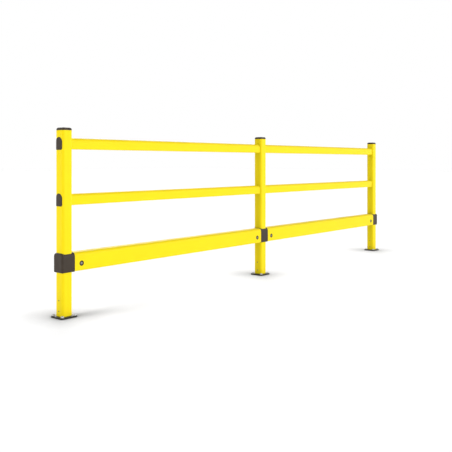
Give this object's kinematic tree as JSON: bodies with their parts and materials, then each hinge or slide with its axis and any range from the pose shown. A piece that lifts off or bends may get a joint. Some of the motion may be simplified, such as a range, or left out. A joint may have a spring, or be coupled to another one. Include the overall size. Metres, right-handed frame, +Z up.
{
  "type": "modular flexible guard barrier",
  "caption": "Polymer guard barrier for a walkway: square posts on bolted steel plates carry a hand rail, a middle rail and a deep impact rail held in black collars.",
  "frame": {"origin": "on the floor, at the centre of the middle post's base plate, on its underside", "axes": "+X along the run of rails, from the left end to the right end seen from the front; -Y is the front; +Z up"},
  "size_m": [4.116, 0.116, 1.165],
  "materials": {
    "yellow_polymer": "satin",
    "black_polymer": "satin",
    "black_steel": "powder coat",
    "zinc_steel": "zinc plated",
    "dark_screw": "black passivated"
  },
  "bodies": {
    "root": {"post_left": "yellow_polymer", "post_middle": "yellow_polymer", "post_right": "yellow_polymer", "post_cap_left": "black_polymer", "post_cap_middle": "black_polymer", "post_cap_right": "black_polymer", "base_plate_left": "black_steel", "base_plate_middle": "black_steel", "base_plate_right": "black_steel", "anchor_bolts_left": "zinc_steel", "anchor_bolts_middle": "zinc_steel", "anchor_bolts_right": "zinc_steel", "post_screws_left": "dark_screw", "post_screws_middle": "dark_screw", "post_screws_right": "dark_screw", "collar_left": "black_polymer", "collar_middle": "black_polymer", "collar_right": "black_polymer", "impact_rail_left": "yellow_polymer", "impact_rail_right": "yellow_polymer", "hand_rail_left": "yellow_polymer", "hand_rail_right": "yellow_polymer", "mid_rail_left": "yellow_polymer", "mid_rail_right": "yellow_polymer", "hand_rail_plug_left": "black_polymer", "hand_rail_plug_right": "black_polymer", "mid_rail_plug_left": "black_polymer", "mid_rail_plug_right": "black_polymer", "rail_bolt_left_outer": "zinc_steel", "rail_bolt_left_inner": "zinc_steel", "rail_bolt_right_inner": "zinc_steel", "rail_bolt_right_outer": "zinc_steel", "bolt_cups_left_outer": "black_polymer", "bolt_cups_left_inner": "black_polymer", "bolt_cups_right_inner": "black_polymer", "bolt_cups_right_outer": "black_polymer"}
  },
  "joints": []
}
